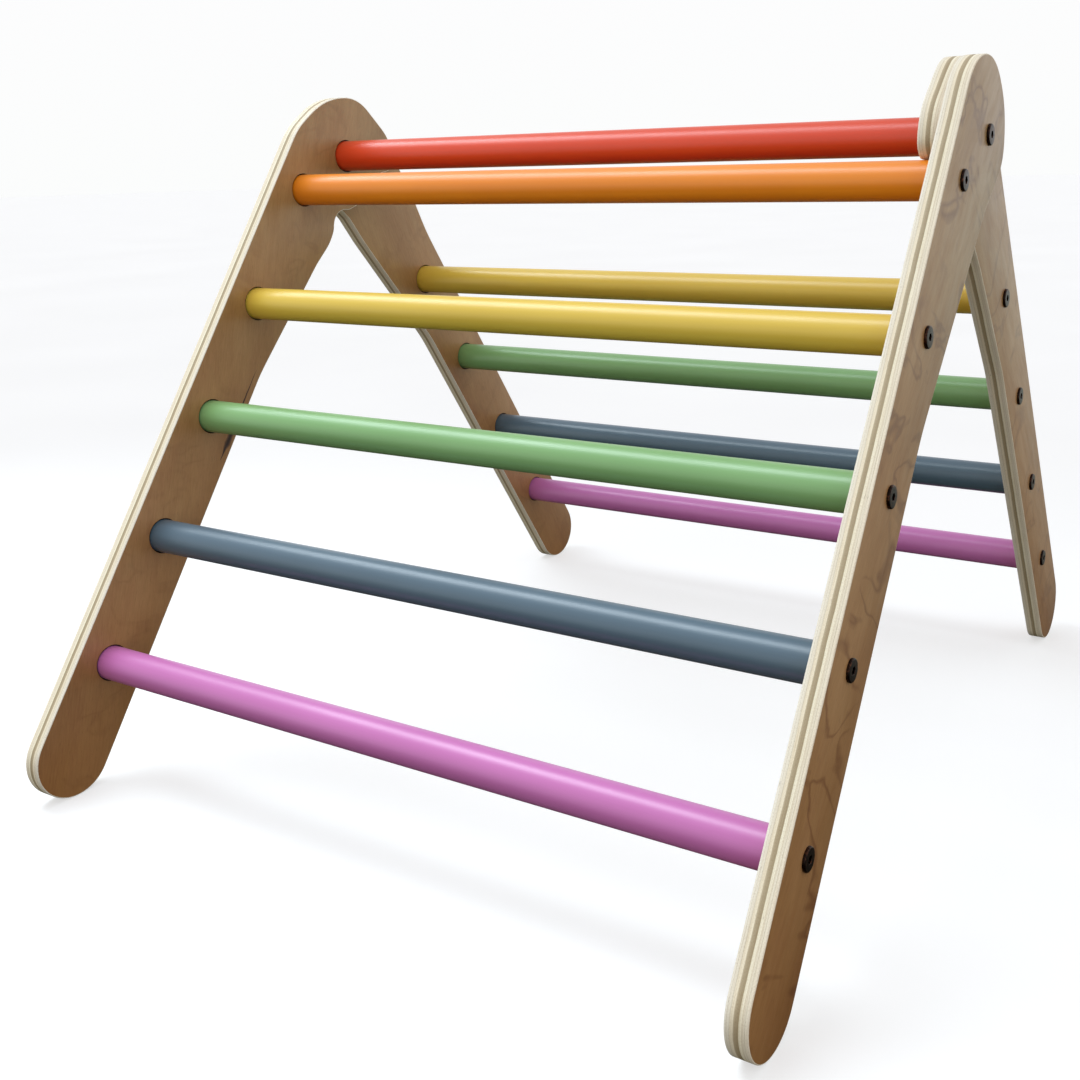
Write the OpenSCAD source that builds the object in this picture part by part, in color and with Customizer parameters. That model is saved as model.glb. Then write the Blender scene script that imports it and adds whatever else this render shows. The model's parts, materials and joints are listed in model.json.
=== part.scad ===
// Folding climbing triangle: two plywood ladders hinged on the top rung's axis.
// Millimetres. +X runs along the rungs, the front ladder leans towards -Y, +Z is up.
// The origin is on the floor, midway between the four feet.

/* [Frame] */
// Clear width between the two side panels of one ladder
clear_w = 642; // [500:1:760]
// Thickness of the plywood
board_t = 16; // [15:0.5:21]
// Width of a leg
leg_w = 71; // [66:0.5:76]
// Lean of each ladder from the vertical when open
lean = 34.5; // [32:0.5:36]
// Distance from the pivot to the centre of the rounded foot, along the leg
foot_reach = 636; // [610:1:700]
// Distance from the pivot to the leg's centreline
pivot_offset = 34; // [33:0.5:35]
// Gap between the two leaves at the pivot
leaf_gap = 0.8; // [0.8:0.1:1.5]

/* [Rungs] */
// Diameter of the rungs
rung_d = 30; // [28:0.5:31]
// Distance from the pivot to the orange rung, along the leg
orange_station = 63; // [62:0.5:64]
// Distance from the pivot to the yellow rungs, along the leg
yellow_station = 191; // [186:1:196]
// Distance from each rung to the next, below yellow
rung_pitch = 120; // [110:1:124]
// Depth of the socket that each rung end sits in
socket_depth = 3; // [2:0.5:4]

/* [Fasteners] */
// Diameter of the bolt heads
bolt_head_d = 16.5; // [14:0.5:17]
// Height of the bolt heads
bolt_head_h = 2.2; // [1.8:0.1:3]
// Size of the hexagon socket across its flats
hex_key = 5; // [4:0.5:5]
// Diameter of the bolt shanks
shank_d = 6; // [5:0.5:6]
// Length of the threaded inserts
insert_l = 22; // [18:1:30]

/* [Hidden] */
$fn = 96;
arc_step = 5;
rung_r = rung_d / 2;
half_leg = leg_w / 2;
edge_out = pivot_offset + half_leg;
edge_in = pivot_offset - half_leg;
foot_end = foot_reach + half_leg;
pivot_z = foot_reach * cos(lean) - pivot_offset * sin(lean) + half_leg;
inner_x = (clear_w - board_t - leaf_gap) / 2;
outer_x = inner_x + board_t + leaf_gap;
body_gap = 0.3;
low_stations = [for (i = [0 : 3]) yellow_station + i * rung_pitch];
front_stations = concat([orange_station], low_stations);
socket_play = 0.3;
shank_play = 0.2;
thread_play = 0.05;
insert_d = 10;
shoulder_d = 8;
bush_d = 12;
run_play = 0.05;
washer_d = 22;
washer_t = leaf_gap - 0.4;
rung_break = 1;
red_right_x = inner_x - body_gap;
stop_z = -orange_station * cos(lean) + pivot_offset * sin(lean) + rung_r + body_gap;
ply = [0.62, 0.47, 0.35];
bronze = [0.10, 0.09, 0.08];
steel = [0.70, 0.70, 0.72];
nylon = [0.92, 0.92, 0.90];
red = [0.86, 0.25, 0.17];
orange = [0.93, 0.51, 0.15];
yellow = [0.88, 0.76, 0.33];
green = [0.42, 0.64, 0.38];
grey = [0.42, 0.52, 0.57];
pink = [0.74, 0.36, 0.68];

// ---------- outline helpers ----------

function unit(v) = v / norm(v);

// A point on the front ladder's side view: u down the leg, v outward from the pivot.
function leg(u, v) = [-u * sin(lean) - v * cos(lean), -u * cos(lean) + v * sin(lean)];

// The arc that rounds one corner of an outline.
function corner_arc(before, corner, after, r) =
    let (a = unit(before - corner))
    let (b = unit(after - corner))
    let (half = acos(a * b) / 2)
    let (centre = corner + unit(a + b) * r / sin(half))
    let (start = corner + a * r / tan(half) - centre)
    let (turn = (180 - 2 * half) * sign(cross(b, a)))
    let (steps = max(1, ceil(abs(turn) / arc_step)))
    [for (i = [0 : steps])
        let (t = turn * i / steps)
        centre + [start.x * cos(t) - start.y * sin(t), start.x * sin(t) + start.y * cos(t)]];

// A closed outline from a list of [corner, radius].
function rounded(corners) =
    let (n = len(corners))
    [for (i = [0 : n - 1])
        each corner_arc(corners[(i + n - 1) % n][0], corners[i][0],
                        corners[(i + 1) % n][0], corners[i][1])];

// The rounded foot, shared by both kinds of leaf.
foot_corners = [
    [leg(foot_end, edge_in), half_leg],
    [leg(foot_end, edge_out), half_leg]
];

// The inner leaf's head. Its horn comes down on the orange rung as the open stop.
horned_head = [
    [[-66, 27.3], 70],
    [[-23.4, 58.5], 86],
    [[23.4, 58.5], 44],
    [[72.5, 14.2], 44],
    [[72.5, stop_z], 6],
    [[46, stop_z], 5],
    [[36, -42], 24],
    [[4, -53], 8],
    [leg(60, -20), 4],
    [leg(90, -23), 10],
    [leg(118, -17), 30],
    [leg(250, edge_in), 160]
];

// The front ladder's outer leaf has no bolt head to clear, so its head is a full dome.
domed_head = [
    [leg(-23, edge_out), 58],
    [[11.6, 58.4], 52],
    [[45.1, 20.6], 55],
    [[45.1, -21], 32],
    [leg(48, -31), 30],
    [leg(250, edge_in), 160]
];

// The rear ladder's outer leaf is narrow, so that it clears the orange rung's bolt head.
narrow_head = [
    [leg(150, edge_out), 200],
    [leg(98, edge_out + 6), 160],
    [leg(6, edge_out + 6), 60],
    [[-22, 64.5], 46],
    [[42.3, 29.2], 46],
    [[42.3, -17.6], 40],
    [leg(62, -23), 20],
    [leg(95, -21), 60],
    [leg(250, edge_in), 160]
];

module inner_leaf_outline() {
    difference() {
        polygon(rounded(concat(foot_corners, horned_head)));
        translate(leg(orange_station, -pivot_offset))
            circle(r = rung_r + 2);
    }
}

module outer_leaf_outline(head) {
    polygon(rounded(concat(foot_corners, head)));
}

// ---------- placing ----------

// Side-view shapes to the pivot's height, as a board from x to x + t.
module board(x, t) {
    translate([x, 0, pivot_z])
        rotate([90, 0, 90])
            linear_extrude(height = t)
                children();
}

// A solid whose axis starts at x on the pivot axis, pointing along +X.
module at_pivot(x) {
    translate([x, 0, pivot_z])
        rotate([0, 90, 0])
            children();
}

// A solid whose axis starts at x at one station of the front ladder, pointing along +X.
module at_station(x, u) {
    p = leg(u, pivot_offset);
    translate([x, p.x, p.y + pivot_z])
        rotate([0, 90, 0])
            children();
}

// The rear ladder is the front one turned half a turn about the vertical.
module turned() {
    rotate([0, 0, 180])
        children();
}

// ---------- panels ----------

// Holes of the left panel, which is the inner leaf.
module inner_panel(stations, pivot_hole_d, pivot_socket) {
    difference() {
        board(-inner_x - board_t, board_t)
            inner_leaf_outline();
        for (u = stations) {
            at_station(-inner_x - board_t - 1, u)
                cylinder(d = shank_d + 2 * shank_play, h = board_t + 2);
            at_station(-inner_x - socket_depth, u)
                cylinder(r = rung_r + socket_play, h = socket_depth + 1);
        }
        at_pivot(-inner_x - board_t - 1)
            cylinder(d = pivot_hole_d, h = board_t + 2);
        if (pivot_socket)
            at_pivot(-inner_x - socket_depth)
                cylinder(r = rung_r + socket_play, h = socket_depth + 1);
    }
}

// Holes of the right panel, which is the outer leaf.
module outer_panel(head, stations, pivot_hole_d) {
    difference() {
        board(outer_x, board_t)
            outer_leaf_outline(head);
        for (u = stations) {
            at_station(outer_x - 1, u)
                cylinder(d = shank_d + 2 * shank_play, h = board_t + 2);
            at_station(outer_x - 1, u)
                cylinder(r = rung_r + socket_play, h = socket_depth + 1);
        }
        at_pivot(outer_x - 1)
            cylinder(d = pivot_hole_d, h = board_t + 2);
    }
}

module front_left_panel() {
    color(ply)
        inner_panel(front_stations, shank_d + 2 * shank_play, true);
}

module front_right_panel() {
    color(ply)
        outer_panel(domed_head, front_stations, shoulder_d + 2 * shank_play);
}

module rear_right_panel() {
    color(ply)
        turned()
            inner_panel(low_stations, bush_d, false);
}

module rear_left_panel() {
    color(ply)
        turned()
            outer_panel(narrow_head, low_stations, bush_d);
}

// ---------- rungs ----------

// A dowel of length l along +Z with broken edges and a blind hole in each end.
module dowel(l) {
    difference() {
        rotate_extrude()
            polygon([[0, 0], [rung_r - rung_break, 0], [rung_r, rung_break],
                     [rung_r, l - rung_break], [rung_r - rung_break, l], [0, l]]);
        translate([0, 0, -1])
            cylinder(d = insert_d, h = insert_l + 5);
        translate([0, 0, l - insert_l - 4])
            cylinder(d = insert_d, h = insert_l + 5);
    }
}

module front_rung(u) {
    at_station(-inner_x - socket_depth, u)
        dowel(clear_w + 2 * socket_depth);
}

module rear_rung(u) {
    turned()
        front_rung(u);
}

module top_rung_red() {
    color(red)
        at_pivot(-inner_x - socket_depth)
            dowel(red_right_x + inner_x + socket_depth);
}

module front_rung_orange() {
    color(orange)
        front_rung(orange_station);
}

module front_rung_yellow() {
    color(yellow)
        front_rung(low_stations[0]);
}

module front_rung_green() {
    color(green)
        front_rung(low_stations[1]);
}

module front_rung_grey() {
    color(grey)
        front_rung(low_stations[2]);
}

module front_rung_pink() {
    color(pink)
        front_rung(low_stations[3]);
}

module rear_rung_yellow() {
    color(yellow)
        rear_rung(low_stations[0]);
}

module rear_rung_green() {
    color(green)
        rear_rung(low_stations[1]);
}

module rear_rung_grey() {
    color(grey)
        rear_rung(low_stations[2]);
}

module rear_rung_pink() {
    color(pink)
        rear_rung(low_stations[3]);
}

// ---------- fasteners ----------

// A bolt along +Z: its head's underside is at 0, and its shank runs l towards +Z.
// The first shoulder_l of the shank is the wider shoulder.
module bolt(l, shoulder_l) {
    difference() {
        rotate_extrude()
            polygon([[0, -bolt_head_h], [bolt_head_d / 2 - 1, -bolt_head_h],
                     [bolt_head_d / 2, -bolt_head_h + 0.9], [bolt_head_d / 2, 0],
                     [shank_d / 2, 0], [shank_d / 2, l - 0.8], [shank_d / 2 - 0.8, l], [0, l]]);
        translate([0, 0, -bolt_head_h - 1])
            cylinder(d = hex_key / cos(30), h = bolt_head_h + 3, $fn = 6);
    }
    if (shoulder_l > 0)
        difference() {
            cylinder(d = shoulder_d, h = shoulder_l);
            translate([0, 0, -1])
                cylinder(d = shank_d - 0.5, h = shoulder_l + 2);
        }
}

// A threaded insert along +Z from 0.
module insert() {
    difference() {
        cylinder(d = insert_d, h = insert_l);
        translate([0, 0, -1])
            cylinder(d = shank_d + 2 * thread_play, h = insert_l + 2);
    }
}

// Bolts through the left panel, the inner leaf.
module inner_bolts(stations) {
    for (u = stations)
        at_station(-inner_x - board_t, u)
            bolt(board_t - socket_depth + insert_l - 2, 0);
}

// Bolts through the right panel, the outer leaf, pointing along -X.
module outer_bolts(stations) {
    for (u = stations)
        at_station(outer_x + board_t, u)
            mirror([0, 0, 1])
                bolt(board_t - socket_depth + insert_l - 2, 0);
}

module rung_inserts(stations) {
    for (u = stations) {
        at_station(-inner_x - socket_depth, u)
            insert();
        at_station(outer_x + socket_depth - insert_l, u)
            insert();
    }
}

module front_left_bolts() {
    color(bronze)
        inner_bolts(front_stations);
}

module front_right_bolts() {
    color(bronze)
        outer_bolts(front_stations);
}

module rear_right_bolts() {
    color(bronze)
        turned()
            inner_bolts(low_stations);
}

module rear_left_bolts() {
    color(bronze)
        turned()
            outer_bolts(low_stations);
}

module front_inserts() {
    color(steel) {
        rung_inserts(front_stations);
        at_pivot(-inner_x - socket_depth)
            insert();
        at_pivot(red_right_x - insert_l)
            insert();
    }
}

module rear_inserts() {
    color(steel)
        turned()
            rung_inserts(low_stations);
}

// ---------- pivot ----------

module left_pivot_bolt() {
    color(bronze)
        at_pivot(-outer_x - board_t - body_gap)
            bolt(2 * board_t + leaf_gap + body_gap - socket_depth + insert_l - 2,
                 board_t + leaf_gap + body_gap);
}

module right_pivot_bolt() {
    color(bronze)
        at_pivot(outer_x + board_t)
            mirror([0, 0, 1])
                bolt(2 * board_t + leaf_gap + body_gap + insert_l - 2,
                     2 * board_t + leaf_gap + body_gap);
}

module pivot_bush(x) {
    at_pivot(x)
        difference() {
            cylinder(d = bush_d, h = board_t);
            translate([0, 0, -1])
                cylinder(d = shoulder_d + 2 * run_play, h = board_t + 2);
        }
}

module left_pivot_bush() {
    color(nylon)
        pivot_bush(-outer_x - board_t);
}

module right_pivot_bush() {
    color(nylon)
        pivot_bush(inner_x);
}

module pivot_washer(x) {
    at_pivot(x)
        difference() {
            cylinder(d = washer_d, h = washer_t);
            translate([0, 0, -1])
                cylinder(d = shoulder_d + 2 * shank_play, h = washer_t + 2);
        }
}

module left_pivot_washer() {
    color(nylon)
        pivot_washer(-inner_x - board_t - washer_t);
}

module right_pivot_washer() {
    color(nylon)
        pivot_washer(outer_x - washer_t);
}

front_left_panel();
front_right_panel();
rear_left_panel();
rear_right_panel();
top_rung_red();
front_rung_orange();
front_rung_yellow();
front_rung_green();
front_rung_grey();
front_rung_pink();
rear_rung_yellow();
rear_rung_green();
rear_rung_grey();
rear_rung_pink();
front_left_bolts();
front_right_bolts();
rear_left_bolts();
rear_right_bolts();
front_inserts();
rear_inserts();
left_pivot_bolt();
right_pivot_bolt();
left_pivot_bush();
right_pivot_bush();
left_pivot_washer();
right_pivot_washer();
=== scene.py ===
"""Looks of the folding climbing triangle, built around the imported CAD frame."""

import json
import math

import bmesh
import bpy
from mathutils import Matrix, Vector
from mathutils.geometry import tessellate_polygon


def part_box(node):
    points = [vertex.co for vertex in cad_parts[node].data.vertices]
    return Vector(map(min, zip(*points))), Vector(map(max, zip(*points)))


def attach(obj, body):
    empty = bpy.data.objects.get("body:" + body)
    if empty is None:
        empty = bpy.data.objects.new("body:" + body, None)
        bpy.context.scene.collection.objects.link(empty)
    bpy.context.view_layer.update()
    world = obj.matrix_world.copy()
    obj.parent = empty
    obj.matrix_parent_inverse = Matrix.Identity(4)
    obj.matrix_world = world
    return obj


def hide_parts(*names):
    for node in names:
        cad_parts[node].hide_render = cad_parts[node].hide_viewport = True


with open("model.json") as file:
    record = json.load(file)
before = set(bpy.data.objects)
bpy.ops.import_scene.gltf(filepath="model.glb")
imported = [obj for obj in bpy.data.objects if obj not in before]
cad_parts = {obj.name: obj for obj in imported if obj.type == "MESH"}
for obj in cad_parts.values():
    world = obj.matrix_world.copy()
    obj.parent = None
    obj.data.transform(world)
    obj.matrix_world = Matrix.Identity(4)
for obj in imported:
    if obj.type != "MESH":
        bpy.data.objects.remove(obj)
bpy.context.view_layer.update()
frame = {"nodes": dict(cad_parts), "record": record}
nodes = frame["nodes"]
bodies = frame["record"]["behaviour"]["bodies"]
body_of = {node: body for body, members in bodies.items() for node in members}
pivot = Vector(frame["record"]["behaviour"]["joints"][0]["pos_m"])

# ---------- sizes, in metres ----------

EDGE_ROUND = 0.0009  # rounding of the plywood's edges
RUNG_ROUND = 0.0012  # rounding of the rungs' ends
ROUND_STEPS = 4
OUTLINE_STEP = 0.004  # spacing of points round a panel's outline
SOCKET_BREAK = 0.0009  # broken edge of each rung socket
RUNG_SIDES = 96
RUNG_STEP = 0.012  # spacing of points along a rung
BOLT_SIDES = 64
HEAD_HEIGHT = 0.0022
HEAD_ROUND = 0.0009  # drop of the rounding at a bolt head's rim
HEAD_ROUND_SPREAD = 1.3  # how much wider than deep that rounding is
HEAD_ROUND_STEPS = 5
HEX_KEY = 0.005
HEX_DEPTH = 0.0017
HEX_BREAK = 0.0003  # broken edge of the hexagon socket
DRILL_POINT = 0.0008  # depth of the cone at the socket's bottom
SHANK_RADIUS = 0.003
WELD = 2e-6  # points of the CAD mesh closer than this are one point
SAME_HOLE = 0.002  # circles on the two faces closer than this belong to one hole


def centre(node):
    low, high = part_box(node)
    return (low + high) / 2


def leg_direction(ladder):
    """Unit vector down one ladder's legs, from its yellow rung to its pink one."""
    return (centre(f"{ladder}_rung_pink") - centre(f"{ladder}_rung_yellow")).normalized()


# ---------- node-tree helpers ----------


def fill_ramp(ramp, stops):
    """Gives a colour ramp its stops, each a place from 0 to 1 and a linear colour."""
    while len(ramp.elements) < len(stops):
        ramp.elements.new(1.0)
    for element, (place, colour) in zip(ramp.elements, stops):
        element.position = place
        element.color = (*colour, 1.0)


class Tree:
    """Small wrapper that makes shader nodes and links them in one call."""

    def __init__(self, name):
        self.material = bpy.data.materials.new(name)
        self.material.use_nodes = True
        self.nodes = self.material.node_tree.nodes
        self.links = self.material.node_tree.links
        self.shader = self.nodes["Principled BSDF"]

    def add(self, kind, settings=None, **inputs):
        node = self.nodes.new("ShaderNode" + kind)
        for key, value in (settings or {}).items():
            setattr(node, key, value)
        for key, value in inputs.items():
            self.feed(node.inputs[key.replace("_", " ")], value)
        return node

    def feed(self, socket, value):
        if isinstance(value, bpy.types.NodeSocket):
            self.links.new(value, socket)
        else:
            socket.default_value = value

    def attribute(self, name):
        return self.add("Attribute", {"attribute_name": name}).outputs["Vector"]

    def position(self):
        return self.add("TexCoord").outputs["Object"]

    def stretch(self, vector, scale, offset=(0, 0, 0)):
        node = self.add("Mapping", Vector=vector, Scale=scale, Location=offset)
        return node.outputs["Vector"]

    def noise(self, vector, scale, detail=3.0, roughness=0.5, distortion=0.0):
        node = self.add("TexNoise", Vector=vector, Scale=scale, Detail=detail,
                        Roughness=roughness, Distortion=distortion)
        return node.outputs["Fac"]

    def math(self, operation, a, b=0.0, clamp=False):
        node = self.add("Math", {"operation": operation, "use_clamp": clamp})
        self.feed(node.inputs[0], a)
        self.feed(node.inputs[1], b)
        return node.outputs[0]

    def remap(self, value, low, high, to_low=0.0, to_high=1.0):
        node = self.add("MapRange", Value=value)
        limits = {"From Min": low, "From Max": high, "To Min": to_low, "To Max": to_high}
        for key, number in limits.items():
            node.inputs[key].default_value = number
        return node.outputs["Result"]

    def ramp(self, value, stops):
        node = self.add("ValToRGB", Fac=value)
        fill_ramp(node.color_ramp, stops)
        return node.outputs["Color"]

    def mix(self, factor, a, b, blend="MIX"):
        node = self.add("Mix", {"data_type": "RGBA", "blend_type": blend})
        self.feed(node.inputs["Factor"], factor)
        self.feed(node.inputs[6], a if isinstance(a, bpy.types.NodeSocket) else (*a, 1.0))
        self.feed(node.inputs[7], b if isinstance(b, bpy.types.NodeSocket) else (*b, 1.0))
        return node.outputs[2]

    def bump(self, height, distance, strength):
        node = self.add("Bump", Height=height, Distance=distance, Strength=strength)
        self.links.new(node.outputs["Normal"], self.shader.inputs["Normal"])

    def set(self, **inputs):
        for key, value in inputs.items():
            self.feed(self.shader.inputs[key.replace("_", " ")], value)


def linear(red, green, blue):
    """An 8-bit display colour as linear light."""
    return tuple((c / 255 / 12.92) if c <= 10 else ((c / 255 + 0.055) / 1.055) ** 2.4
                 for c in (red, green, blue))


# ---------- materials ----------


BIRCH_CLOUD = [(0.3, (154, 108, 62)), (0.5, (167, 123, 76)), (0.7, (178, 135, 89))]
BIRCH_STROKE = (148, 94, 54)
BIRCH_FIBRE = (208, 156, 104)
BIRCH_FIGURE = (116, 66, 30)
BIRCH_FLECK = (104, 64, 38)
BARK_BROWN = (42, 20, 12)
HEAD_SHEEN = (0.94, 1.10, 1.12)  # painted sheen: linear grey tint at the hinge, gone by HEAD_REACH down the leg
HEAD_REACH = 0.3
FOOT_SHADE = (232, 219, 202)  # painted shade: tint that darkens the foot, growing between the two FOOT_REACH places
FOOT_REACH = (0.46, 0.64)


def display_ramp(t, value, stops):
    """A ramp whose colours are given as 8-bit display colours."""
    return t.ramp(value, [(place, linear(*rgb)) for place, rgb in stops])


def veneer_material(name, look, shift):
    """Birch face veneer.

    Attribute grain holds metres down the leg and across it, then 1 on the inner face and 0 on
    the outer one.
    """
    t = Tree(name)
    grain = t.attribute("grain")
    turned = t.add("Mapping", Vector=grain, Rotation=(0, 0, look["turn"]),
                   Location=shift).outputs["Vector"]
    cloud = t.noise(t.stretch(turned, (7, 20, 1)), 1.0, 3.0)
    strokes = t.noise(t.stretch(turned, (26, 110, 1)), 1.0, 3.0, 0.6)
    fine = t.noise(t.stretch(turned, (60, 620, 1)), 1.0, 4.0, 0.65)
    fleck = t.remap(t.noise(t.stretch(turned, (130, 1100, 1)), 1.0, 2.0), 0.60, 0.72)
    # Flame figure: soft contour lines of a slow hill field.
    hills = t.noise(t.stretch(turned, (14, 9, 1)), 1.0, 3.0, 0.5, 0.6)
    contour = t.math("PINGPONG", t.math("MULTIPLY", hills, 5.0), 0.5)
    patchy = t.remap(t.noise(t.stretch(turned, (9, 20, 1), (3, 1, 0)), 1.0, 2.0), 0.32, 0.5)
    figure = t.math("MULTIPLY", t.remap(contour, 0.0, 0.13, 1.0, 0.0), patchy)
    colour = display_ramp(t, cloud, BIRCH_CLOUD)
    colour = t.mix(t.remap(strokes, 0.4, 0.7, 0.0, 0.30), colour, linear(*BIRCH_STROKE))
    colour = t.mix(t.remap(fine, 0.35, 0.7, 0.0, 0.26), colour, linear(*BIRCH_FIBRE))
    colour = t.mix(t.math("MULTIPLY", figure, look["figure"]), colour, linear(*BIRCH_FIGURE))
    colour = t.mix(t.math("MULTIPLY", fleck, 0.30), colour, linear(*BIRCH_FLECK))
    # Painted sheen greys the heads a little, and painted shade darkens the feet.
    down_leg = t.add("SeparateXYZ", Vector=grain).outputs["X"]
    head_sheen = t.remap(down_leg, 0.0, HEAD_REACH, 1.0, 0.0)
    colour = t.mix(head_sheen, colour, HEAD_SHEEN, "MULTIPLY")
    colour = t.mix(t.remap(down_leg, *FOOT_REACH), colour, linear(*FOOT_SHADE), "MULTIPLY")
    relief = t.math("SUBTRACT", t.math("MULTIPLY", fine, 0.5), t.math("MULTIPLY", fleck, 0.5))
    if "bark" in look:
        bark = bark_line(t, grain, **look["bark"])
        colour = t.mix(bark, colour, linear(*BARK_BROWN))
        relief = t.math("SUBTRACT", relief, t.math("MULTIPLY", bark, 1.5))
    t.bump(relief, 0.0002, 0.3)
    t.set(Base_Color=colour, Roughness=t.remap(strokes, 0.3, 0.7, 0.30, 0.40),
          Specular_IOR_Level=0.62)
    return t.material


BARK_WANDER = 0.002  # how far the bark line strays to either side, in metres
BARK_THINNEST = 0.0004  # half its width where it is thinnest


def bark_line(t, grain, start, thickest, end, offset, width):
    """How strongly a thin dark bark line shows.

    It runs down the leg from start to end, about offset across the leg, all in metres, and only
    on the inner face.
    """
    parts = t.add("SeparateXYZ", Vector=grain).outputs
    wander = t.remap(t.noise(t.stretch(grain, (35, 0, 0)), 1.0, 2.0), 0, 1,
                     offset - BARK_WANDER, offset + BARK_WANDER)
    away = t.math("ABSOLUTE", t.math("SUBTRACT", parts["Y"], wander))
    swelling = t.remap(parts["X"], start, thickest)
    shrinking = t.remap(parts["X"], thickest, end, 1.0, 0.0)
    bulge = t.math("POWER", t.math("MULTIPLY", swelling, shrinking), 2.0)
    reach = t.math("ADD", t.math("MULTIPLY", bulge, width), BARK_THINNEST)
    line = t.math("SUBTRACT", 1.0, t.math("POWER", t.math("DIVIDE", away, reach), 2.0), clamp=True)
    ends = t.math("MULTIPLY", t.remap(swelling, 0.0, 0.1), t.remap(shrinking, 0.0, 0.1))
    return t.math("MULTIPLY", t.math("MULTIPLY", line, ends), parts["Z"])


PLY_LAYERS = [  # share of the thickness from the outer face, and the layer's colour
    (0.000, (244, 232, 211)),
    (0.130, (245, 234, 213)),
    (0.150, (216, 203, 177)),
    (0.175, (243, 233, 213)),
    (0.275, (230, 217, 191)),
    (0.295, (249, 240, 217)),
    (0.390, (247, 238, 212)),
    (0.410, (170, 152, 120)),
    (0.560, (182, 165, 136)),
    (0.610, (200, 182, 152)),
    (0.630, (245, 233, 207)),
    (0.750, (238, 225, 200)),
    (0.770, (214, 203, 180)),
    (0.790, (239, 229, 210)),
    (0.870, (241, 232, 214)),
    (0.890, (222, 212, 192)),
    (0.910, (245, 238, 223)),
]


PLY_THREAD = (206, 182, 146)
PLY_DOT = (176, 150, 116)
PLY_BLOT = (218, 196, 164)
PLY_KNOT = (112, 86, 58)
LAYER_WAVE = 0.04  # how far the layers wave, as a share of the thickness
LAYER_RIPPLE = 0.014


def ply_edge_material(name, shift):
    """Sanded edge of the plywood.

    Attribute rim holds metres along the edge and the share of the thickness.
    """
    t = Tree(name)
    rim = t.stretch(t.attribute("rim"), (1, 1, 1), shift)
    share = t.add("SeparateXYZ", Vector=t.attribute("rim")).outputs["Y"]
    wobble = t.noise(t.stretch(rim, (11, 0, 0)), 1.0, 3.0)
    ripple = t.noise(t.stretch(rim, (90, 0, 0)), 1.0, 2.0)
    share = t.math("ADD", share, t.remap(wobble, 0, 1, -LAYER_WAVE, LAYER_WAVE))
    share = t.math("ADD", share, t.remap(ripple, 0, 1, -LAYER_RIPPLE, LAYER_RIPPLE))
    layers = display_ramp(t, share, PLY_LAYERS)
    threads = t.noise(t.stretch(rim, (26, 70, 1)), 1.0, 4.0, 0.6)
    dots = t.noise(t.stretch(rim, (900, 40, 1)), 1.0, 3.0, 0.65)
    blot = t.noise(t.stretch(rim, (16, 2.5, 1)), 1.0, 2.0)
    knots = t.remap(t.noise(t.stretch(rim, (120, 14, 1)), 1.0, 2.0, 0.6), 0.68, 0.76)
    colour = t.mix(t.remap(threads, 0.48, 0.68, 0.0, 0.5), layers, linear(*PLY_THREAD), "MULTIPLY")
    colour = t.mix(t.remap(dots, 0.48, 0.74, 0.0, 0.5), colour, linear(*PLY_DOT), "MULTIPLY")
    colour = t.mix(t.remap(blot, 0.35, 0.75, 0.0, 0.12), colour, linear(*PLY_BLOT), "MULTIPLY")
    colour = t.mix(t.math("MULTIPLY", knots, 0.55), colour, linear(*PLY_KNOT))
    relief = t.math("ADD", t.math("MULTIPLY", dots, 0.6), t.math("MULTIPLY", threads, 0.4))
    t.bump(relief, 0.0003, 0.4)
    t.set(Base_Color=colour, Roughness=t.remap(dots, 0.3, 0.7, 0.5, 0.64),
          Specular_IOR_Level=0.35)
    return t.material


def socket_material():
    """Near black-brown wood inside the rung sockets: painted shade for the dark gaps round the rung
    ends.
    """
    t = Tree("socket_shade")
    socket_mottle = t.noise(t.position(), 350.0, 3.0)
    t.bump(socket_mottle, 0.0002, 0.4)
    t.set(Base_Color=display_ramp(t, socket_mottle, [(0.3, (34, 18, 10)), (0.7, (58, 33, 19))]),
          Roughness=0.8)
    return t.material


def paint_material(name, rgb, thin):
    """Satin paint on a sanded dowel, with the grain just showing through along X."""
    t = Tree(name)
    place = t.position()
    grain = t.noise(t.stretch(place, (5, 420, 420)), 1.0, 3.0, 0.6)
    coat = t.noise(t.stretch(place, (7, 30, 30)), 1.0, 2.0)
    dust = t.noise(place, 800.0, 2.0, 0.7)
    colour = t.mix(t.remap(coat, 0.3, 0.7, 0.0, 0.4), linear(*rgb), linear(*thin))
    colour = t.mix(t.remap(grain, 0.5, 0.8, 0.0, 0.22), colour, linear(*thin))
    relief = t.math("ADD", grain, t.math("MULTIPLY", dust, 0.3))
    t.bump(relief, 0.00016, 0.3)
    t.set(Base_Color=colour, Roughness=t.remap(coat, 0.3, 0.7, 0.34, 0.42), Specular_IOR_Level=0.5,
          Coat_Weight=0.25, Coat_Roughness=0.3)
    return t.material


def bronze_material():
    """Blackened bronze that has worn through to copper-brown in patches."""
    t = Tree("bolt_bronze")
    place = t.position()
    worn = t.remap(t.noise(place, 420.0, 3.0, 0.6), 0.50, 0.70)
    scratches = t.noise(t.stretch(place, (200, 1800, 500)), 1.0, 2.0)
    colour = t.mix(worn, linear(38, 29, 26), linear(92, 58, 42))
    t.bump(scratches, 0.00008, 0.4)
    t.set(Base_Color=colour, Metallic=1.0, Roughness=t.remap(scratches, 0.3, 0.7, 0.26, 0.42))
    return t.material


def zinc_material():
    """Plated steel of the threaded inserts."""
    t = Tree("insert_zinc")
    mottle = t.noise(t.position(), 500.0, 3.0)
    t.bump(mottle, 0.00006, 0.4)
    t.set(Base_Color=display_ramp(t, mottle, [(0.3, (150, 150, 154)), (0.7, (196, 197, 202))]),
          Metallic=1.0, Roughness=t.remap(mottle, 0.3, 0.7, 0.32, 0.5))
    return t.material


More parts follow.
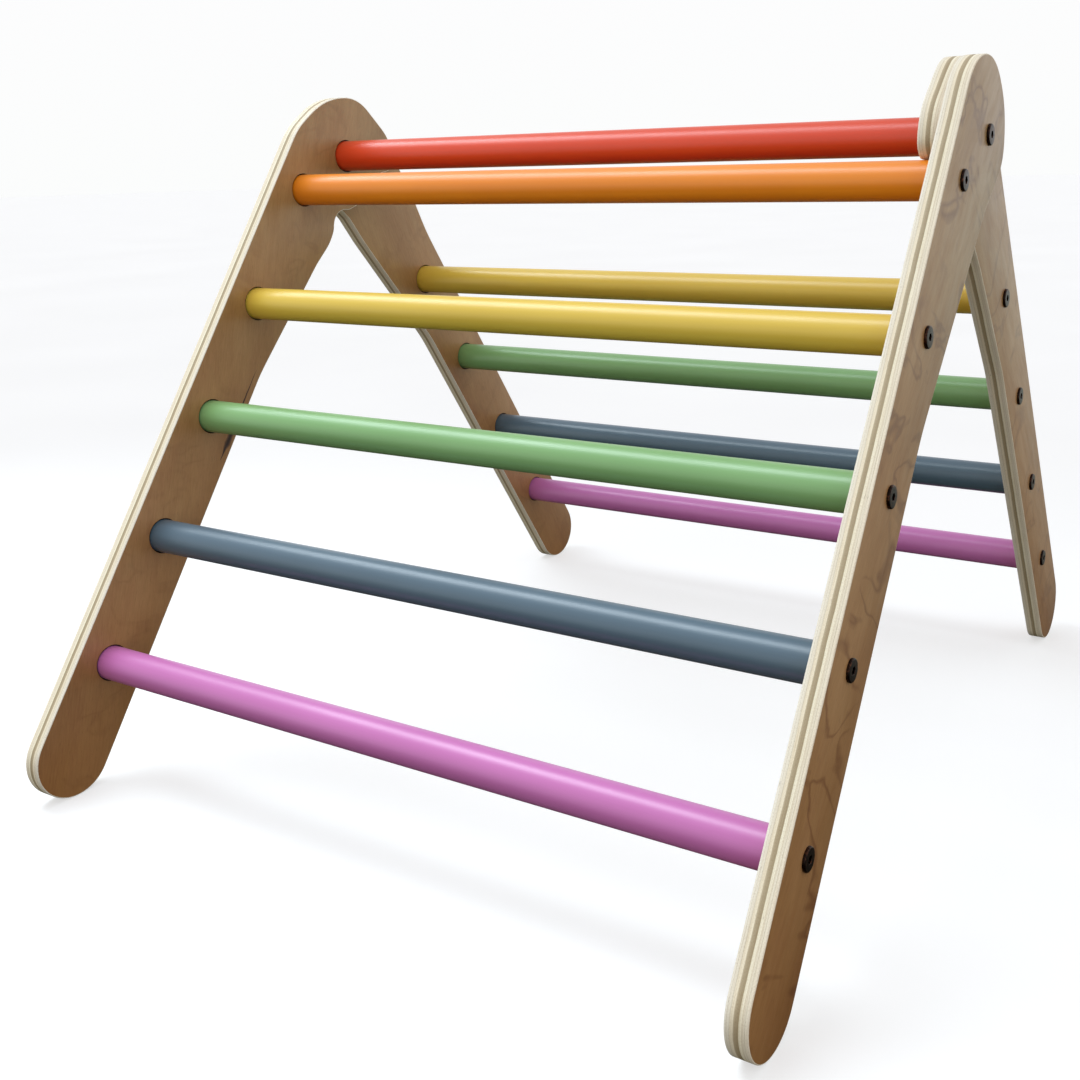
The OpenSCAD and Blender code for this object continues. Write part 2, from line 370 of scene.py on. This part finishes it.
def nylon_material():
    """Off-white nylon of the bushes and washers."""
    t = Tree("pivot_nylon")
    cloud = t.noise(t.position(), 300.0, 2.0)
    t.bump(cloud, 0.00005, 0.3)
    t.set(Base_Color=display_ramp(t, cloud, [(0.3, (222, 218, 206)), (0.7, (236, 233, 224))]),
          Roughness=t.remap(cloud, 0.3, 0.7, 0.45, 0.55))
    return t.material


PAINTS = {  # display colour, and the slightly deeper tone that shows where the coat is thin
    "red": ((224, 70, 27), (210, 57, 21)),
    "orange": ((244, 142, 22), (234, 126, 14)),
    "yellow": ((228, 193, 74), (216, 178, 56)),
    "green": ((130, 175, 112), (114, 160, 96)),
    "grey": ((84, 106, 121), (72, 92, 106)),
    "pink": ((202, 116, 180), (188, 100, 166)),
}

# ---------- mesh helpers ----------


def new_piece(name, node, verts, faces, materials, indices=None):
    """A mesh object that stands for one CAD node and rides on its body."""
    mesh = bpy.data.meshes.new(name)
    mesh.from_pydata(verts, [], faces)
    for material in materials:
        mesh.materials.append(material)
    if indices:
        mesh.polygons.foreach_set("material_index", indices)
    mesh.polygons.foreach_set("use_smooth", [True] * len(mesh.polygons))
    mesh.update()
    piece = bpy.data.objects.new(name, mesh)
    bpy.context.scene.collection.objects.link(piece)
    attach(piece, body_of[node])
    return piece


def sharpen(piece, degrees):
    """Keeps edges sharper than the angle crisp and faces all the others outward."""
    mesh = piece.data
    work = bmesh.new()
    work.from_mesh(mesh)
    bmesh.ops.remove_doubles(work, verts=work.verts, dist=1e-6)
    bmesh.ops.recalc_face_normals(work, faces=work.faces)
    for edge in work.edges:
        edge.smooth = edge.calc_face_angle(0.0) < math.radians(degrees)
    work.to_mesh(mesh)
    work.free()


def face_loops(node, x):
    """Closed outlines, as lists of (y, z), of a CAD node's flat face at x."""
    work = bmesh.new()
    work.from_mesh(nodes[node].data)
    bmesh.ops.remove_doubles(work, verts=work.verts, dist=WELD)
    following = {}
    for edge in work.edges:
        if any(abs(v.co.x - x) > 1e-5 for v in edge.verts) or len(edge.link_faces) != 2:
            continue
        flat = [abs(f.normal.x) > 0.99 for f in edge.link_faces]
        if flat[0] != flat[1]:
            a, b = edge.verts
            following.setdefault(a.index, []).append(b.index)
            following.setdefault(b.index, []).append(a.index)
    work.verts.ensure_lookup_table()
    loops, left = [], set(following)
    while left:
        first = min(left)
        loop, here, before = [], first, None
        while True:
            loop.append(here)
            left.discard(here)
            onward = [n for n in following[here] if n != before]
            before, here = here, onward[0]
            if here == first:
                break
        loops.append([(work.verts[i].co.y, work.verts[i].co.z) for i in loop])
    work.free()
    return sorted(loops, key=lambda loop: -abs(area(loop)))


def area(loop):
    """Area inside a loop, positive where it runs anticlockwise."""
    return sum(a[0] * b[1] - b[0] * a[1] for a, b in zip(loop, loop[1:] + loop[:1])) / 2


def evened(loop, step):
    """The loop anticlockwise, with points every step or less, its small corners eased."""
    points = [Vector(p) for p in (loop if area(loop) > 0 else loop[::-1])]
    dense = []
    for a, b in zip(points, points[1:] + points[:1]):
        pieces = max(1, math.ceil((b - a).length / step))
        dense += [a.lerp(b, i / pieces) for i in range(pieces)]
    tidy = [p for p, q in zip(dense, dense[1:] + dense[:1]) if (q - p).length > step * 0.2]
    for _ in range(2):
        before, after = tidy[-1:] + tidy[:-1], tidy[1:] + tidy[:1]
        tidy = [(a + 2 * p + b) / 4 for a, p, b in zip(before, tidy, after)]
    return tidy


def inward(loop):
    """Unit inward normals at the points of an anticlockwise loop."""
    found = []
    for a, b in zip(loop[-1:] + loop[:-1], loop[1:] + loop[:1]):
        along = (b - a).normalized()
        found.append(Vector((-along.y, along.x)))
    return found


def circle(mid, radius, sides):
    """Points of a circle, as (y, z)."""
    turns = [2 * math.pi * i / sides for i in range(sides)]
    return [Vector((mid[0] + radius * math.cos(a), mid[1] + radius * math.sin(a))) for a in turns]


def quarter_turn(steps):
    """Angles from 0 to a right angle."""
    return [math.pi / 2 * i / steps for i in range(steps + 1)]


def round_hole(loop):
    """Centre and radius of a round outline."""
    mid = Vector((sum(p[0] for p in loop), sum(p[1] for p in loop))) / len(loop)
    return mid, max((Vector(p) - mid).length for p in loop)


# ---------- panels ----------


def panel(node, outer_x, inner_x, socket_x, look, shift):
    """A plywood side: rounded edges, rung sockets on the inner face, bolt holes through.

    The sockets' floors lie at socket_x, where the rungs end.
    """
    ladder = node.split("_")[0]
    down = leg_direction(ladder)
    across = Vector((0, -down.z, down.y))
    side = 1 if inner_x > outer_x else -1
    thick = abs(inner_x - outer_x)
    outline = evened(face_loops(node, outer_x)[0], OUTLINE_STEP)
    normals = inward(outline)
    count = len(outline)
    verts, faces, kinds, rims = [], [], [], []

    def place(x, point):
        verts.append(Vector((x, point[0], point[1])))
        return len(verts) - 1

    def band(ring_a, ring_b, kind):
        size = len(ring_a)
        for i in range(size):
            j = (i + 1) % size
            faces.append((ring_a[i], ring_a[j], ring_b[j], ring_b[i]))
            kinds.append(kind)

    # The edge: one rounding, the flat stretch, the other rounding.
    rows = [(EDGE_ROUND * (1 - math.cos(a)), EDGE_ROUND * (1 - math.sin(a)))
            for a in quarter_turn(ROUND_STEPS)]
    rows += [(thick - depth, inset) for depth, inset in reversed(rows)]
    rings = []
    for depth, inset in rows:
        x = outer_x + side * depth
        rings.append([place(x, p + n * inset) for p, n in zip(outline, normals)])
        rims.append(depth / thick)
    for a, b in zip(rings, rings[1:]):
        band(a, b, 1)

    # The flat faces with their holes, and the walls of the holes.
    def flat(x, ring, holes):
        loops = [[verts[i] for i in ring]] + [[verts[i] for i in hole] for hole in holes]
        order = [i for loop in [ring, *holes] for i in loop]
        flattened = [[Vector((p.y, p.z, 0)) for p in loop] for loop in loops]
        for triangle in tessellate_polygon(flattened):
            faces.append(tuple(order[i] for i in triangle))
            kinds.append(0)

    outer_holes, inner_holes = [], []
    inner_rounds = [round_hole(loop) for loop in face_loops(node, inner_x)[1:]]
    for loop in face_loops(node, outer_x)[1:]:
        mid, radius = round_hole(loop)
        mouth = max(r for m, r in inner_rounds if (m - mid).length < SAME_HOLE)
        near = [place(outer_x, p) for p in circle(mid, radius, BOLT_SIDES)]
        outer_holes.append(near)
        has_socket = mouth > radius * 1.5
        if has_socket:
            break_x = inner_x - side * SOCKET_BREAK
            far = [place(socket_x, p) for p in circle(mid, radius, BOLT_SIDES)]
            step = [place(socket_x, p) for p in circle(mid, mouth, BOLT_SIDES)]
            lip = [place(break_x, p) for p in circle(mid, mouth, BOLT_SIDES)]
            rim = [place(inner_x, p) for p in circle(mid, mouth + SOCKET_BREAK, BOLT_SIDES)]
            for a, b in ((near, far), (far, step), (step, lip), (lip, rim)):
                band(a, b, 2)
            inner_holes.append(rim)
        else:
            far = [place(inner_x, p) for p in circle(mid, radius, BOLT_SIDES)]
            band(near, far, 2)
            inner_holes.append(far)
    flat(outer_x, rings[0], outer_holes)
    flat(inner_x, rings[-1], inner_holes)

    piece = new_piece(node + "_plywood", node, verts, faces,
                      [veneer_material(node + "_veneer", look, shift),
                       ply_edge_material(node + "_edge", shift), socket_shade], kinds)
    mesh = piece.data
    grain = mesh.attributes.new("grain", "FLOAT_VECTOR", "POINT")
    rim = mesh.attributes.new("rim", "FLOAT_VECTOR", "POINT")
    lengths = [0.0]
    for a, b in zip(outline, outline[1:]):
        lengths.append(lengths[-1] + (b - a).length)
    for index, vertex in enumerate(mesh.vertices):
        offset = vertex.co - pivot
        inner = float(abs(vertex.co.x - inner_x) < abs(vertex.co.x - outer_x))
        grain.data[index].vector = (offset.dot(down), offset.dot(across), inner)
        row, column = divmod(index, count)
        if row < len(rims):
            rim.data[index].vector = (lengths[column], rims[row], 0.0)
    sharpen(piece, degrees=40)
    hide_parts(node)


# ---------- rungs ----------


def rung(node, material):
    """A painted dowel with softly rounded ends, as long as its CAD solid."""
    low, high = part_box(node)
    mid = (low + high) / 2
    radius = (high.y - low.y) / 2
    start = [(low.x + RUNG_ROUND * (1 - math.cos(a)), radius - RUNG_ROUND * (1 - math.sin(a)))
             for a in quarter_turn(ROUND_STEPS)]
    finish = [(low.x + high.x - x, r) for x, r in reversed(start)]
    straight = finish[0][0] - start[-1][0]
    spans = math.ceil(straight / RUNG_STEP)
    middle = [(start[-1][0] + straight * i / spans, radius) for i in range(1, spans)]
    profile = start + middle + finish
    verts, faces = [], []
    for x, r in profile:
        verts += [Vector((x, p.x, p.y)) for p in circle((mid.y, mid.z), r, RUNG_SIDES)]
    for row in range(len(profile) - 1):
        for i in range(RUNG_SIDES):
            j = (i + 1) % RUNG_SIDES
            a, b = row * RUNG_SIDES, (row + 1) * RUNG_SIDES
            faces.append((a + i, a + j, b + j, b + i))
    last = (len(profile) - 1) * RUNG_SIDES
    faces.append(tuple(range(RUNG_SIDES)))
    faces.append(tuple(range(last + RUNG_SIDES - 1, last - 1, -1)))
    piece = new_piece(node + "_dowel", node, verts, faces, [material])
    sharpen(piece, degrees=50)
    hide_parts(node)


# ---------- bolts ----------


def island_boxes(node):
    """Boxes of the separate solids in one CAD node."""
    work = bmesh.new()
    work.from_mesh(nodes[node].data)
    bmesh.ops.remove_doubles(work, verts=work.verts, dist=WELD)
    left, boxes = set(work.verts), []
    while left:
        queue = [min(left, key=lambda v: v.index)]
        left.discard(queue[0])
        island = []
        while queue:
            vertex = queue.pop()
            island.append(vertex.co.copy())
            for edge in vertex.link_edges:
                other = edge.other_vert(vertex)
                if other in left:
                    left.discard(other)
                    queue.append(other)
        boxes.append((Vector(min(c) for c in zip(*island)), Vector(max(c) for c in zip(*island))))
    work.free()
    return sorted(boxes, key=lambda box: -box[0].z)


def bolts(node, material):
    """Flat-headed socket bolts, one for each solid of the CAD node."""
    outward = 1 if "right" in node else -1
    verts, faces = [], []

    def ring(x, mid, radius, sides=BOLT_SIDES):
        start = len(verts)
        verts.extend(Vector((x, p.x, p.y)) for p in circle(mid, radius, sides))
        return list(range(start, start + sides))

    def band(a, b):
        for i in range(len(a)):
            j = (i + 1) % len(a)
            faces.append((a[i], a[j], b[j], b[i]))

    for low, high in island_boxes(node):
        mid = ((low.y + high.y) / 2, (low.z + high.z) / 2)
        radius = (high.y - low.y) / 2
        top = high.x if outward > 0 else low.x
        tip = low.x if outward > 0 else high.x
        seat = top - outward * HEAD_HEIGHT
        rings = [ring(seat, mid, SHANK_RADIUS), ring(seat, mid, radius)]
        for a in quarter_turn(HEAD_ROUND_STEPS):
            x = top - outward * HEAD_ROUND * (1 - math.sin(a))
            rings.append(ring(x, mid, radius - HEAD_ROUND * HEAD_ROUND_SPREAD * (1 - math.cos(a))))
        for a, b in zip(rings, rings[1:]):
            band(a, b)
        # The flat top round the hexagon socket, and the socket itself.
        corner = HEX_KEY / 2 / math.cos(math.pi / 6)
        mouth = ring(top, mid, (HEX_KEY / 2 + HEX_BREAK) / math.cos(math.pi / 6), 6)
        walls = ring(top - outward * HEX_BREAK, mid, corner, 6)
        floor = ring(top - outward * HEX_DEPTH, mid, corner, 6)
        order = rings[-1] + mouth
        loops = [[Vector((verts[i].y, verts[i].z, 0)) for i in loop] for loop in (rings[-1], mouth)]
        faces.extend(tuple(order[i] for i in triangle) for triangle in tessellate_polygon(loops))
        band(mouth, walls)
        band(walls, floor)
        verts.append(Vector((top - outward * (HEX_DEPTH + DRILL_POINT), *mid)))
        for i in range(6):
            faces.append((floor[i], floor[(i + 1) % 6], len(verts) - 1))
        end = ring(tip, mid, SHANK_RADIUS)
        band(rings[0], end)
        faces.append(tuple(end))
    piece = new_piece(node + "_heads", node, verts, faces, [material])
    sharpen(piece, degrees=35)
    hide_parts(node)


# ---------- the object ----------

socket_shade = socket_material()
green_station = (centre("front_rung_green") - pivot).dot(leg_direction("front"))
VENEERS = {  # how far the grain leans off the leg, and how strong the flame figure is
    "front_left_panel": {"turn": -0.35, "figure": 0.18},
    "front_right_panel": {"turn": 0.1, "figure": 0.62},
    "rear_left_panel": {"turn": 0.2, "figure": 0.18},
    "rear_right_panel": {"turn": -0.1, "figure": 0.42},
}
# A thin bark line passes behind the green rung of the front left leg, near the rear edge.
VENEERS["front_left_panel"]["bark"] = {
    "start": green_station - 0.064, "thickest": green_station + 0.016,
    "end": green_station + 0.034, "offset": -0.0058, "width": 0.004,
}
VENEER_SHIFT = Vector((0.37, 0.11, 0.0))  # each panel is cut this much further along the pattern
for index, (node, look) in enumerate(VENEERS.items()):
    low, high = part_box(node)
    ladder, hand, _ = node.split("_")
    outer_x, inner_x = (low.x, high.x) if hand == "left" else (high.x, low.x)
    rung_low, rung_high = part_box(f"{ladder}_rung_pink")
    socket_x = rung_low.x if hand == "left" else rung_high.x
    panel(node, outer_x, inner_x, socket_x, look, VENEER_SHIFT * index)

paints = {name: paint_material("paint_" + name, *tones) for name, tones in PAINTS.items()}
for node in nodes:
    if "_rung_" in node:
        rung(node, paints[node.split("_")[-1]])

bronze = bronze_material()
for node in nodes:
    if node.endswith(("_bolts", "_bolt")):
        bolts(node, bronze)

zinc, nylon = zinc_material(), nylon_material()
for node, piece in nodes.items():
    if node.endswith("_inserts"):
        piece.data.materials[0] = zinc
    if node.endswith(("_bush", "_washer")):
        piece.data.materials[0] = nylon

# ---------- floor, light and camera ----------


FLOOR_SIZE = 80.0
FLOOR_GLOW = 0.55


def floor_material():
    """Matt grey that glows, so that it shows near white and still takes a soft shadow."""
    t = Tree("studio_floor")
    greys = t.ramp(t.noise(t.position(), 1.5, 2.0), [(0.3, (0.48,) * 3), (0.7, (0.52,) * 3)])
    t.set(Base_Color=greys, Roughness=0.8, Specular_IOR_Level=0.1,
          Emission_Color=(1.0, 1.0, 1.0, 1.0), Emission_Strength=FLOOR_GLOW)
    return t.material


def stage_floor(size):
    """Pale floor that catches shadows. Its bounce light is left to the studio's lower half."""
    mesh = bpy.data.meshes.new("studio_floor")
    half = size / 2
    corners = [(-half, -half, 0), (half, -half, 0), (half, half, 0), (-half, half, 0)]
    mesh.from_pydata(corners, [], [(0, 1, 2, 3)])
    mesh.materials.append(floor_material())
    floor = bpy.data.objects.new("studio_floor", mesh)
    floor.visible_diffuse = False
    floor.visible_glossy = False
    bpy.context.scene.collection.objects.link(floor)


SKYLIGHT = {
    "place": (-0.8, -0.45, 2.0), "target": (0, -0.8, 0), "size": (0.8, 2.0),
    "power": 12, "colour": (0.82, 0.93, 1.0), "spread": 90,
}


def area_light(name, place, target, size, power, colour, spread):
    """A rectangular lamp that faces its target. The spread is in degrees."""
    light = bpy.data.lights.new(name, "AREA")
    light.shape = "RECTANGLE"
    light.size, light.size_y = size
    light.energy = power
    light.color = colour
    light.spread = math.radians(spread)
    lamp = bpy.data.objects.new(name, light)
    lamp.location = place
    lamp.rotation_euler = (Vector(target) - Vector(place)).to_track_quat("-Z", "Y").to_euler()
    bpy.context.scene.collection.objects.link(lamp)


STUDIO_GLOW = [  # height of a direction, from straight down at 0 to straight up at 1, and its light
    (0.00, (0.045, 0.034, 0.024)),
    (0.28, (0.055, 0.046, 0.034)),
    (0.36, (0.270, 0.280, 0.240)),
    (0.45, (0.680, 0.760, 0.690)),
    (0.475, (0.860, 0.950, 0.880)),
    (0.485, (0.970, 0.980, 0.975)),
    (0.57, (0.980, 0.980, 0.985)),
    (0.70, (0.860, 0.870, 0.890)),
    (1.00, (0.640, 0.660, 0.700)),
]


def studio_world():
    """White surroundings: brightest at the horizon, dim below it."""
    world = bpy.data.worlds.new("studio")
    world.use_nodes = True
    shaders, links = world.node_tree.nodes, world.node_tree.links
    direction = shaders.new("ShaderNodeTexCoord")
    split = shaders.new("ShaderNodeSeparateXYZ")
    height = shaders.new("ShaderNodeMapRange")
    height.inputs["From Min"].default_value = -1.0
    ramp = shaders.new("ShaderNodeValToRGB")
    fill_ramp(ramp.color_ramp, STUDIO_GLOW)
    links.new(direction.outputs["Generated"], split.inputs[0])
    links.new(split.outputs["Z"], height.inputs["Value"])
    links.new(height.outputs["Result"], ramp.inputs["Fac"])
    links.new(ramp.outputs["Color"], shaders["Background"].inputs["Color"])
    bpy.context.scene.world = world


CAMERA_PLACE = Vector((0.61408, -0.99348, 0.52225))
CAMERA_YAW, CAMERA_PITCH, CAMERA_ROLL = 0.5580, 0.2232, -0.0234  # left, down and tilt, in radians
CAMERA_LENS = 41.864  # millimetres, behind a sensor 36 wide
CAMERA_SHIFT = (-0.0605, -0.0804)


def photo_camera():
    """A camera at the photograph's viewing angle."""
    yaw, pitch, roll = CAMERA_YAW, CAMERA_PITCH, CAMERA_ROLL
    level = math.cos(pitch)
    forward = Vector((-math.sin(yaw) * level, math.cos(yaw) * level, -math.sin(pitch)))
    right = Vector((math.cos(yaw), math.sin(yaw), 0))
    up = right.cross(forward)
    tilted_right = math.cos(roll) * right + math.sin(roll) * up
    tilted_up = math.cos(roll) * up - math.sin(roll) * right
    turn = Matrix((tilted_right, tilted_up, -forward)).transposed()
    data = bpy.data.cameras.new("photo_camera")
    data.sensor_width = 36.0
    data.lens = CAMERA_LENS
    data.shift_x, data.shift_y = CAMERA_SHIFT
    camera = bpy.data.objects.new("photo_camera", data)
    camera.matrix_world = Matrix.Translation(CAMERA_PLACE) @ turn.to_4x4()
    bpy.context.scene.collection.objects.link(camera)
    bpy.context.scene.camera = camera


stage_floor(FLOOR_SIZE)
studio_world()
area_light("skylight", **SKYLIGHT)
photo_camera()
bpy.context.scene.view_settings.view_transform = "Standard"
